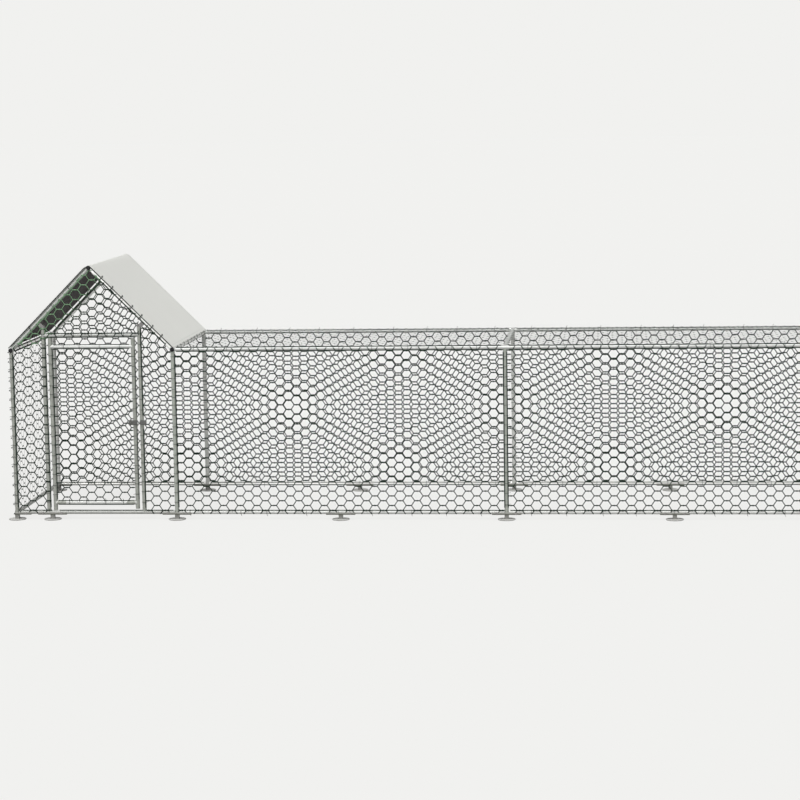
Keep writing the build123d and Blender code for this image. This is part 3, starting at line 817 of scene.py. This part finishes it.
# Ties: a loop of wire round tube and netting, its ends twisted together. A loop is given by its radius,
# its shift from the tube's axis and the length of its tail
tieSizes = {
    "wire": 0.0011, "cord": 0.0014, "thickCord": 0.0030,
    "loop": (0.01445, 0.00085, 0.011), "rafterLoop": (0.0165, 0.0, 0.008),
    "slackRafterLoop": (0.0192, 0.0057, 0.011), "slackEaveLoop": (0.0207, 0.0072, 0.011),
    "loopSides": 12, "wireSides": 4, "tailSteps": 4, "tailTurns": 1.5, "tailLean": -70, "tailTaper": 0.7,
    "tailSpot": (0.25, 0.97), "wander": 0.3, "wanderScale": (7.0, 3.0, 1.7),
}


# Sets a shape on every point, its Z along the point's axis and its X towards the point's face
def setOnPoints(sheet, points, shape):
    turn = {}
    for axis, label in (("Z", "axis"), ("X", "face")):
        way = sheet.add("GeometryNodeInputNamedAttribute", {"data_type": "FLOAT_VECTOR"}, {"Name": label})
        settings = {"axis": axis, "pivot_axis": "Z" if turn else "AUTO"}
        turn = {"Rotation": sheet.add("FunctionNodeAlignRotationToVector", settings, {"Vector": way, **turn})}
    return sheet.add("GeometryNodeInstanceOnPoints", {}, {"Points": points, "Instance": shape, **turn})


def tieTree():
    sizes = ["Loop radius", "Wire radius", "Shift", "Tail length"]
    tree, sheet, size, keys = newTree(
        "netTie", [(label, "NodeSocketFloat") for label in sizes] + [("Finish", "NodeSocketMaterial")]
    )
    thin = {"Resolution": tieSizes["wireSides"], "Radius": size["Wire radius"]}
    ring = sheet.add("GeometryNodeCurvePrimitiveCircle", {}, thin)
    wide = {"Resolution": tieSizes["loopSides"], "Radius": size["Loop radius"]}
    loop = sheet.add("GeometryNodeCurvePrimitiveCircle", {}, wide)
    loop = sheet.add("GeometryNodeCurveToMesh", {}, {"Curve": loop, "Profile Curve": ring})
    turns = {
        "Resolution": tieSizes["tailSteps"], "Rotations": tieSizes["tailTurns"],
        "Start Radius": size["Wire radius"], "End Radius": size["Wire radius"] * tieSizes["tailTaper"],
        "Height": size["Tail length"],
    }
    tail = sheet.add("GeometryNodeCurveSpiral", {}, turns)
    tail = sheet.add("GeometryNodeCurveToMesh", {}, {"Curve": tail, "Profile Curve": ring, "Fill Caps": True})
    ahead, beside = [size["Loop radius"] * share for share in tieSizes["tailSpot"]]
    spot = sheet.add("ShaderNodeCombineXYZ", {}, {0: ahead, 1: beside})
    lean = {"Geometry": tail, "Translation": spot, "Rotation": (radians(tieSizes["tailLean"]), 0.0, 0.0)}
    tie = sheet.gather(loop, sheet.add("GeometryNodeTransform", {}, lean))
    shift = sheet.add("ShaderNodeCombineXYZ", {}, {0: size["Shift"]})
    tie = sheet.add("GeometryNodeTransform", {}, {"Geometry": tie, "Translation": shift})
    closeTree(sheet, setOnPoints(sheet, size["Geometry"], tie), size["Finish"])
    return tree, keys


# Points from one end of a seat to the other, spaced a little unevenly
def tiePoints(start, end, step):
    count = max(int((end - start).length / step), 1)
    perStart, perEnd, perTie = tieSizes["wanderScale"]
    spots = []
    for k in range(count):
        seed = start * perStart + end * perEnd + Vector((k * perTie, 0, 0))
        wander = noise.noise(seed) * tieSizes["wander"]
        spots.append(start.lerp(end, (k + 0.5 + wander) / count))
    return spots


# One mesh of a shape set on many places, each a point, an axis and a face
def setPieces(name, tree, keys, values, places):
    points, axes, faces = zip(*places)
    return growMesh(name, tree, keys, values, points, {"axis": axes, "face": faces})


tieNodes, tieKeys = tieTree()
for name, body, seats, loop, wire in (
    ("netting_ties_frame", "frame", postSeats + jambSeats + railSeats, "loop", "wire"),
    ("netting_ties_door", "door", hingeSeats + leafSeats, "loop", "wire"),
    ("cover_lacing_front_right", "frame", rafterLaces, "rafterLoop", "thickCord"),
    ("cover_lacing_front_left", "frame", slackRafter, "slackRafterLoop", "cord"),
    ("cover_lacing_eave_left", "frame", slackEave, "slackEaveLoop", "cord"),
):
    places = [
        (spot, face.cross(tail), face)
        for start, end, face, step, tail, _ in seats for spot in tiePoints(start, end, step)
    ]
    sizes = dict(zip(("Loop radius", "Shift", "Tail length"), tieSizes[loop]))
    sizes.update({"Wire radius": tieSizes[wire], "Finish": tieWire})
    mesh = setPieces(name, tieNodes, tieKeys, sizes, places)
    addPiece(name, mesh, body, tieWire)
    print(name, "tied:", len(places), "ties,", len(mesh.polygons), "faces")


# Strands: wires, cords and stitches that follow a line of points
def strandTree():
    sizes = [("Radius", "NodeSocketFloat"), ("Sides", "NodeSocketInt"), ("Finish", "NodeSocketMaterial")]
    tree, sheet, size, keys = newTree("strand", sizes)
    strand = sheet.add("GeometryNodeMeshToCurve", {}, {0: size["Geometry"]})
    ring = {"Resolution": size["Sides"], "Radius": size["Radius"]}
    ring = sheet.add("GeometryNodeCurvePrimitiveCircle", {}, ring)
    wire = {"Curve": strand, "Profile Curve": ring, "Fill Caps": True}
    wire = sheet.add("GeometryNodeCurveToMesh", {}, wire)
    closeTree(sheet, sheet.add("GeometryNodeSetShadeSmooth", {}, {0: wire}), size["Finish"])
    return tree, keys


strandNodes, strandKeys = strandTree()


def addStrands(name, body, lines, radius, sides, finish):
    points, edges = [], []
    for line in lines:
        edges += [(len(points) + k, len(points) + k + 1) for k in range(len(line) - 1)]
        points += line
    values = {"Radius": radius, "Sides": sides, "Finish": finish}
    mesh = growMesh(name, strandNodes, strandKeys, values, points, None, edges)
    print(name, "run:", len(lines), "strands,", len(mesh.polygons), "faces")
    return addPiece(name, mesh, body, finish)


# Edge wires: a strand along each edge of a net, on the tube that it is tied to. Its lean is the angle
# round the tube, from the front towards that edge
edgeSizes = {
    "step": 0.045, "waver": 0.0005, "waverScale": 9.0, "seed": 5, "sides": 6,
    "posts": {"radius": 0.0033, "lean": 43},
    "jambs": {"radius": 0.0030, "lean": 62},
    "rails": {"radius": 0.0026, "lean": 56},
    "rear": {"radius": 0.0019, "lean": 36},
    "gable_right": {"radius": 0.0037, "lean": 20},
    "gable_left": {"radius": 0.0035, "lean": 36},
    "rear_gable": {"radius": 0.0034, "lean": 48},
    "door": {"radius": 0.0023, "lean": 55},
    "hinge": {"radius": 0.0025, "lean": 70},
}
noise.seed_set(edgeSizes["seed"])  # the waver is the same each run


# Points along an edge wire, which wavers a little from its straight line
def edgeLine(start, end):
    count = max(int((end - start).length / edgeSizes["step"]), 2)
    spots = [start.lerp(end, k / count) for k in range(count + 1)]
    return [spot + noise.noise_vector(spot * edgeSizes["waverScale"]) * edgeSizes["waver"] for spot in spots]


def edgeLines(seats, size):
    reach = house["tube"] + size["radius"]
    lean = radians(size["lean"])
    lines = []
    for start, end, face, _, _, sides in seats:
        ahead = front if face is rear else face
        for side in sides:
            shift = (side * sin(lean) + ahead * cos(lean)) * reach
            lines.append(edgeLine(start + shift, end + shift))
    return lines


wallSeats = railSeats + sillSeats
for place, body, seats in (
    ("posts", "frame", postSeats),
    ("jambs", "frame", jambSeats),
    ("rails", "frame", [seat for seat in wallSeats if seat[2] is front]),
    ("rear", "frame", [seat for seat in wallSeats if seat[2] is rear]),
    ("gable_right", "frame", gableSeats),
    ("gable_left", "frame", slackSeats),
    ("rear_gable", "frame", rearGableSeats),
    ("door", "door", leafSeats),
    ("hinge", "door", hingeSeats),
):
    size = edgeSizes[place]
    lines = edgeLines(seats, size)
    name = "netting_edge_wires_" + place
    addStrands(name, body, lines, size["radius"], edgeSizes["sides"], greenWire)

# Cord along the cover's front edge, dark and thick so that it also stands for the shade under that edge
# (partly painted shade), and the stitches of its hem
hemSizes = {
    "cord": 0.0024, "cordSides": 8, "cordSteps": 90, "cordAhead": 0.0003, "cordUnder": 0.0002,
    "inset": 0.020, "stitch": 0.0040, "gap": 0.0022, "thread": 0.00045, "threadSides": 5, "threadLift": 0.4,
}


def hemStitches(size):
    top = coverSizes["thick"] + coverSizes["hemThick"] + size["thread"] * size["threadLift"]
    reach = coverHalf - size["inset"]
    side = coverSizes["halfLength"] - size["inset"]
    pitch = size["stitch"] + size["gap"]
    lines = []
    for span, spotAt in (
        (reach, lambda along, edge: coverSpot(along, edge * side, top)),
        (side, lambda along, edge: coverSpot(edge * reach, along, top)),
    ):
        for k in range(int(2 * span / pitch)):
            begin = -span + k * pitch
            for edge in (-1, 1):
                lines.append([spotAt(begin + size["stitch"] * share, edge) for share in (0.0, 0.5, 1.0)])
    return lines


cordStops = [coverHalf * (2 * k / hemSizes["cordSteps"] - 1) for k in range(hemSizes["cordSteps"] + 1)]
cordPlace = (-coverSizes["halfLength"] - hemSizes["cordAhead"], -hemSizes["cord"] - hemSizes["cordUnder"])
cordLine = [coverSpot(stop, *cordPlace) for stop in cordStops]
# the dark cord is partly painted shade: it darkens the line under the cover's front edge
hemCordAndShade = addStrands(
    "cover_hem_cord", "frame", [cordLine], hemSizes["cord"], hemSizes["cordSides"], tieWire
)
stitches = addStrands(
    "cover_hem_stitches", "frame", hemStitches(hemSizes), hemSizes["thread"],
    hemSizes["threadSides"], hemThread,
)

# Lacing of the right eave: cords from the cover's edge round the outer side of the rail
laceSizes = {"radius": 0.0165, "from": 52, "to": -140, "steps": 12, "sides": 6}


def eaveArc(spot, size):
    share = (spot.y + half) / (2 * half)
    reach = size["radius"] + share * coverSizes["looseRight"][1]
    sweep, steps = size["to"] - size["from"], size["steps"]
    turns = [radians(size["from"] + sweep * k / steps) for k in range(steps + 1)]
    return [spot + Vector((cos(turn), 0, sin(turn))) * reach for turn in turns]


arcs = [eaveArc(spot, laceSizes) for spot in tiePoints(*eaveLace, seatSizes["eaveStep"])]
addStrands("cover_lacing_eave_right", "frame", arcs, tieSizes["cord"], laceSizes["sides"], tieWire)

# Fixings: a rim or washer, a head on it and a dome on the head
fixingSizes = {"rimSides": 28, "domeSides": 20, "domeRings": 8, "domeShare": 0.88}
fixingLabels = ["Rim radius", "Rim height", "Head radius", "Head height", "Dome height", "Head sides"]


def fixingTree():
    tree, sheet, size, keys = newTree(
        "tubeFixing",
        [(label, "NodeSocketFloat") for label in fixingLabels[:-1]]
        + [("Head sides", "NodeSocketInt"), ("Finish", "NodeSocketMaterial")],
    )

    def lifted(shape, height, scale=(1.0, 1.0, 1.0)):
        spot = sheet.add("ShaderNodeCombineXYZ", {}, {2: height})
        placed = {"Geometry": shape, "Translation": spot, "Scale": scale}
        return sheet.add("GeometryNodeTransform", {}, placed)

    rim = {"Vertices": fixingSizes["rimSides"], "Radius": size["Rim radius"], "Depth": size["Rim height"]}
    rim = sheet.add("GeometryNodeMeshCylinder", {}, rim)
    head = {"Vertices": size["Head sides"], "Radius": size["Head radius"], "Depth": size["Head height"]}
    head = sheet.add("GeometryNodeMeshCylinder", {}, head)
    dome = {"Segments": fixingSizes["domeSides"], "Rings": fixingSizes["domeRings"], "Radius": 1.0}
    dome = sheet.add("GeometryNodeMeshUVSphere", {}, dome)
    dome = sheet.add("GeometryNodeSetShadeSmooth", {}, {0: dome})
    wide = size["Head radius"] * fixingSizes["domeShare"]
    domeScale = sheet.add("ShaderNodeCombineXYZ", {}, {0: wide, 1: wide, 2: size["Dome height"]})
    fixing = sheet.gather(
        lifted(rim, size["Rim height"] * 0.5),
        lifted(head, size["Rim height"] + size["Head height"] * 0.5),
        lifted(dome, size["Rim height"] + size["Head height"], domeScale),
    )
    closeTree(sheet, setOnPoints(sheet, size["Geometry"], fixing), size["Finish"])
    return tree, keys


fixingNodes, fixingKeys = fixingTree()


def addFixings(name, body, shape, places, finish, replaced=()):
    values = {**dict(zip(fixingLabels, shape)), "Finish": finish}
    mesh = setPieces(name, fixingNodes, fixingKeys, values, places)
    addPiece(name, mesh, body, finish, replaced)
    print(name, "set:", len(places), "fixings,", len(mesh.polygons), "faces")


# Caps on the ends of the eave rails, the ridge pole and the run's top rails
capSizes = {"shape": (0.0135, 0.0022, 0.0128, 0.0002, 0.0015, 28), "depth": 0.542, "runEnd": 2.512}
capPlaces = [
    (Vector((x, face.y * capSizes["depth"], z)), face, upward)
    for face in (front, rear) for x, z in (leftEave, rightEave, ridgeEnd)
]
capPlaces += [(Vector((capSizes["runEnd"], y, eave)), toRight, upward) for y in (-half, half)]
addFixings("tube_caps", "frame", capSizes["shape"], capPlaces, capPlastic, ["end_caps"])

# Bolts through the walls of the shoes that the bottom rails lie in
boltSizes = {
    "shape": (0.0084, 0.0012, 0.0064, 0.0042, 0.0006, 6), "spread": 0.058, "depth": 0.5396, "height": 0.038,
    "bayFeet": (-0.505, 1.495), "doorFoot": -2.2745,
}
shoes = [(house["left"], (1,)), (house["right"], (-1, 1)), (boltSizes["bayFeet"][0], (-1, 1))]
shoes += [(midPost, (-1, 1)), (boltSizes["bayFeet"][1], (-1, 1)), (house["end"], (-1,))]
doorShoes = [(boltSizes["doorFoot"], (-1, 1))]
boltPlaces = []
for face, feet in ((front, shoes + doorShoes), (rear, shoes)):
    for x, ways in feet:
        for way in ways:
            spot = (x + way * boltSizes["spread"], face.y * boltSizes["depth"], boltSizes["height"])
            boltPlaces.append((Vector(spot), face, upward))
addFixings("shoe_bolts", "frame", boltSizes["shape"], boltPlaces, zinc["strapShadeZinc"])

# Screws of the latch's two plates
screwSizes = {
    "shape": (0.0043, 0.0005, 0.0039, 0.0009, 0.0014, 20), "depth": -0.542, "heights": (0.5833, 0.6067),
    "housing": (-1.771, -1.737), "keeper": (-1.709, -1.680),
}
for plate, body in (("housing", "door"), ("keeper", "frame")):
    screwPlaces = [
        (Vector((x, screwSizes["depth"], z)), front, upward)
        for x in screwSizes[plate] for z in screwSizes["heights"]
    ]
    name = "latch_" + plate + "_screws"
    addFixings(name, body, screwSizes["shape"], screwPlaces, zinc["latchZinc"])

# Sleeves on the ends of the door's bottom rail
sleeveSizes = {"radius": 0.0139, "from": 0.0122, "to": 0.066, "sides": 32}
sleeveLines = [
    level(-half, leafRails[0], [x + way * sleeveSizes[stop] for stop in ("from", "to")])
    for x, way in zip(stiles, (1, -1))
]
addStrands(
    "door_rail_sleeves", "door", sleeveLines, sleeveSizes["radius"], sleeveSizes["sides"],
    zinc["jambShadeZinc"],
)


# Camera, at the photograph's viewing angle
viewSizes = {
    "place": (1.1406, -13.9191, 2.4637), "yaw": -5.4434, "pitch": -7.3646, "roll": -0.9354,
    "lens": 102.168, "sensor": 36, "farthest": 400,
}


def viewCamera(size):
    yaw, pitch, roll = [radians(size[k]) for k in ("yaw", "pitch", "roll")]
    ahead = Vector((sin(yaw) * cos(pitch), cos(yaw) * cos(pitch), sin(pitch)))
    right = Vector((cos(yaw), -sin(yaw), 0))
    up = right.cross(ahead)
    right, up = cos(roll) * right + sin(roll) * up, cos(roll) * up - sin(roll) * right
    lens = bpy.data.cameras.new("viewCamera")
    lens.sensor_width = size["sensor"]
    lens.lens = size["lens"]
    lens.clip_end = size["farthest"]
    camera = bpy.data.objects.new("viewCamera", lens)
    turn = Matrix((right, up, -ahead)).transposed().to_4x4()
    camera.matrix_world = Matrix.Translation(size["place"]) @ turn
    scene.collection.objects.link(camera)
    scene.camera = camera


viewCamera(viewSizes)

# Studio: pale floor and air of one colour, soft light from overhead
studioSizes = {
    "pale": (0.879, 0.879, 0.863), "air": 0.34, "floorHalf": 150, "floorDrop": 0.0004, "floorRough": 0.2,
    "floorShare": 0.88, "floorBounce": 0.30, "floorLit": 1.062,
    "lamps": {
        "key": {"aim": (0.14, 0.46, -0.87), "power": 1.90, "spread": 30},
        "frontFill": {"aim": (0.40, 0.91, -0.12), "power": 0.85, "spread": 30},
        "sideFill": {"aim": (-0.75, 0.30, -0.58), "power": 0.60, "spread": 60},
    },
}


# 1 where the view, a reflection or a look through something meets the backdrop, 0 for its light
def lookShare(sheet):
    rays = sheet.add("ShaderNodeLightPath")
    ray = {o.name: Tap(sheet, o) for o in rays.socket.node.outputs}
    return ray["Is Camera Ray"] + ray["Is Glossy Ray"] + ray["Is Transmission Ray"]


def studio(size):
    world = bpy.data.worlds.new("studioAir")
    world.use_nodes = True
    world.node_tree.nodes.clear()
    sheet = NodeSheet(world.node_tree)
    share = lookShare(sheet)
    air = sheet.add("ShaderNodeBackground", {}, {"Color": (1, 1, 1, 1), "Strength": size["air"]})
    backdrop = sheet.add("ShaderNodeBackground", {}, {"Color": (*size["pale"], 1), "Strength": 1.0})
    mixed = sheet.add("ShaderNodeMixShader", {}, {0: share, 1: air, 2: backdrop})
    sheet.add("ShaderNodeOutputWorld", {}, {"Surface": mixed})
    scene.world = world
    for name, look in size["lamps"].items():
        lamp = bpy.data.lights.new(name, "SUN")
        lamp.energy = look["power"]
        lamp.angle = radians(look["spread"])
        stand = bpy.data.objects.new(name, lamp)
        stand.rotation_euler = Vector(look["aim"]).to_track_quat("-Z", "Y").to_euler()
        scene.collection.objects.link(stand)
    wide = size["floorHalf"]
    mesh = bpy.data.meshes.new("studioFloor")
    corners = [(x, y, -size["floorDrop"]) for x, y in boxOutline(-wide, -wide, wide, wide)]
    mesh.from_pydata(corners, [], [(0, 1, 2, 3)])
    floorPiece = bpy.data.objects.new("studioFloor", mesh)
    scene.collection.objects.link(floorPiece)
    finish, sheet, _ = newFinish("studioFloor")
    share = lookShare(sheet)
    pale = [c / size["floorLit"] for c in size["pale"]]
    low = [c * size["floorBounce"] for c in size["pale"]]
    matt = {"Color": sheet.blend(share, low, pale), "Roughness": size["floorRough"]}
    matt = sheet.add("ShaderNodeBsdfDiffuse", {}, matt)
    glow = sheet.add("ShaderNodeEmission", {}, {"Color": (*size["pale"], 1), "Strength": 1.0})
    mixed = sheet.add("ShaderNodeMixShader", {}, {0: share * size["floorShare"], 1: matt, 2: glow})
    sheet.add("ShaderNodeOutputMaterial", {}, {"Surface": mixed})
    mesh.materials.append(finish)


studio(studioSizes)
scene.view_settings.view_transform = "Standard"
print("studio set")
